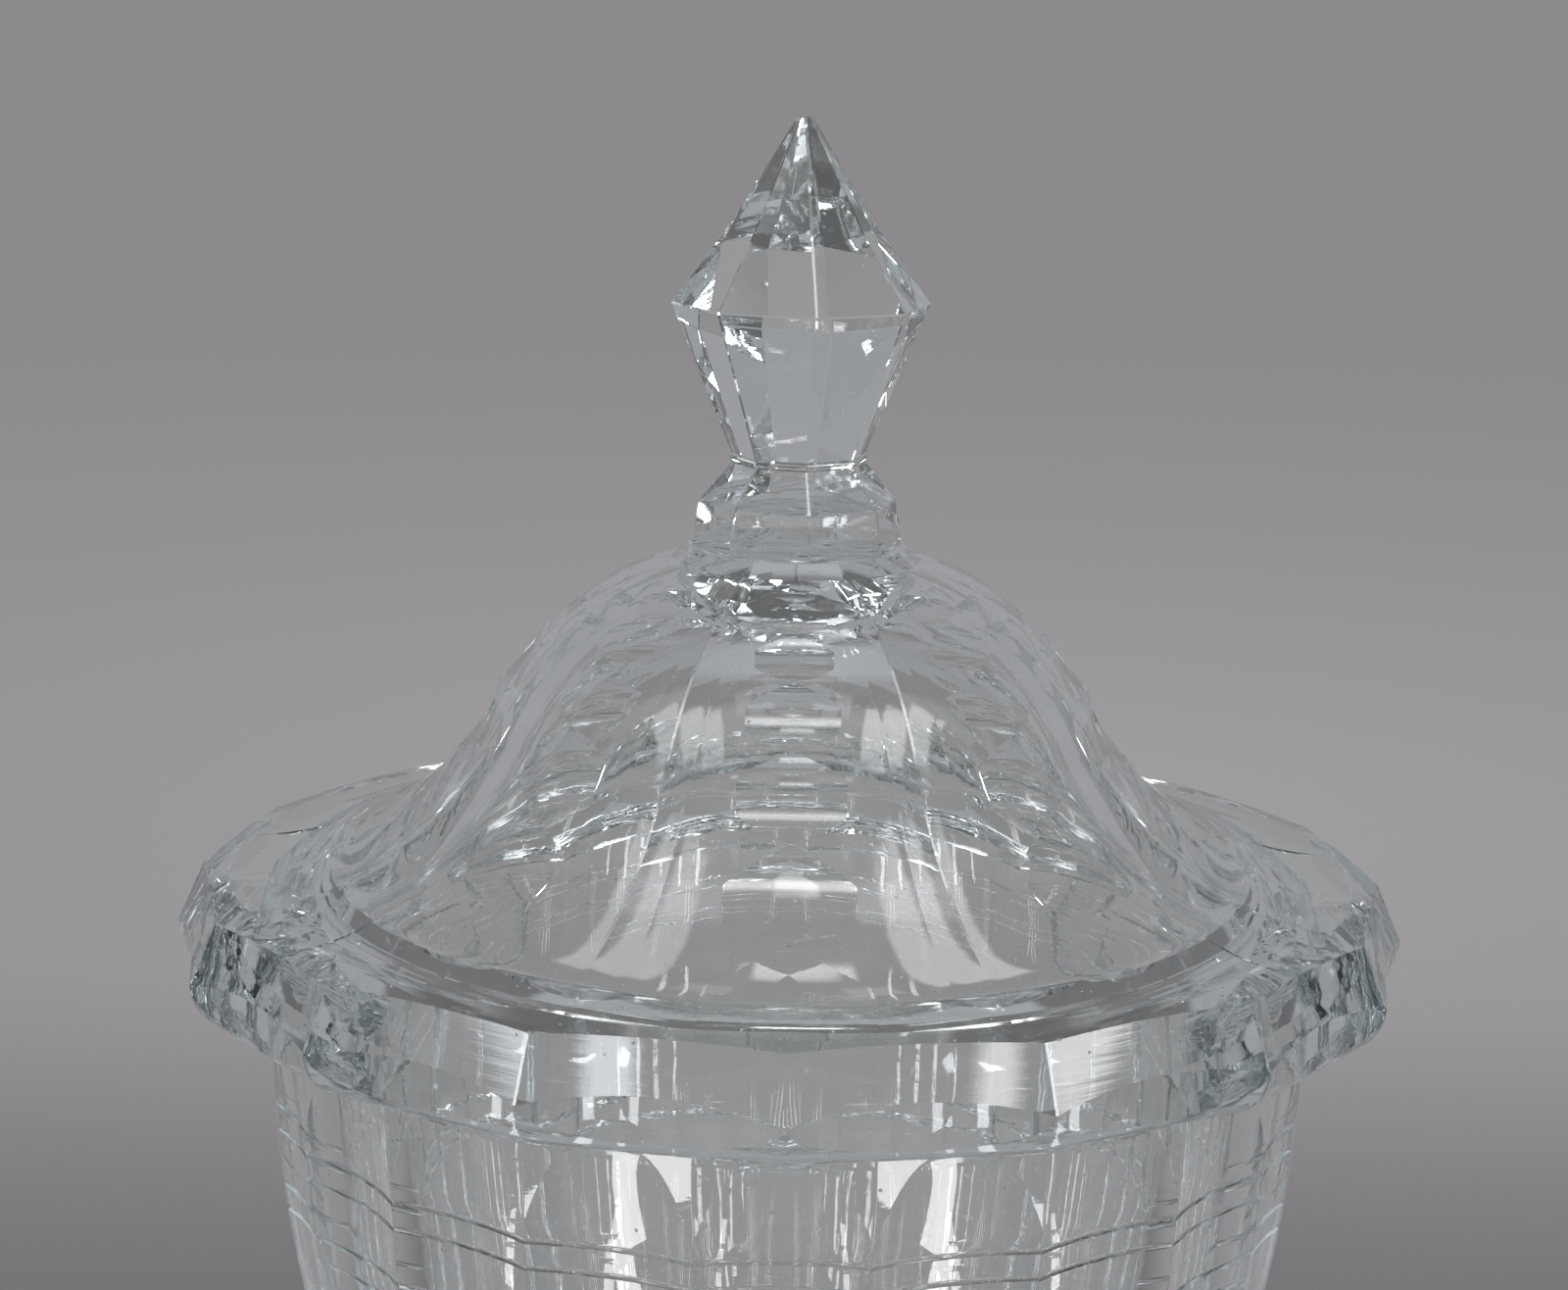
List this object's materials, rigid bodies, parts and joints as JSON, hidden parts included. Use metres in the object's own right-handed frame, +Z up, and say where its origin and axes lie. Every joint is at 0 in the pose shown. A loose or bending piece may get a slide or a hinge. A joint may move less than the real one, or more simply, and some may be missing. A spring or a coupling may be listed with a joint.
{
  "type": "cut glass compote",
  "caption": "Covered cut glass compote: a fluted bowl on a faceted stem and panelled foot, with a lift-off domed lid, notched ridges and a spire finial.",
  "frame": {"origin": "centre of the foot, on the surface that the compote stands on", "axes": "+Z up along the glass's axis, from the foot to the finial's tip; -Y is the side that the picture shows"},
  "size_m": [0.182, 0.182, 0.308],
  "materials": {
    "crystal": "polished"
  },
  "bodies": {
    "base": {"foot": "crystal", "foot_collar": "crystal", "stem_knop": "crystal", "bowl_collar": "crystal", "bowl": "crystal"},
    "lid": {"lid_dome": "crystal", "finial_collar": "crystal", "finial_spire": "crystal"}
  },
  "joints": [
    {"name": "lid_lift", "type": "slide", "parent": "base", "child": "lid", "axis": [0, 0, 1], "range_m": [0, 0.15]}
  ]
}
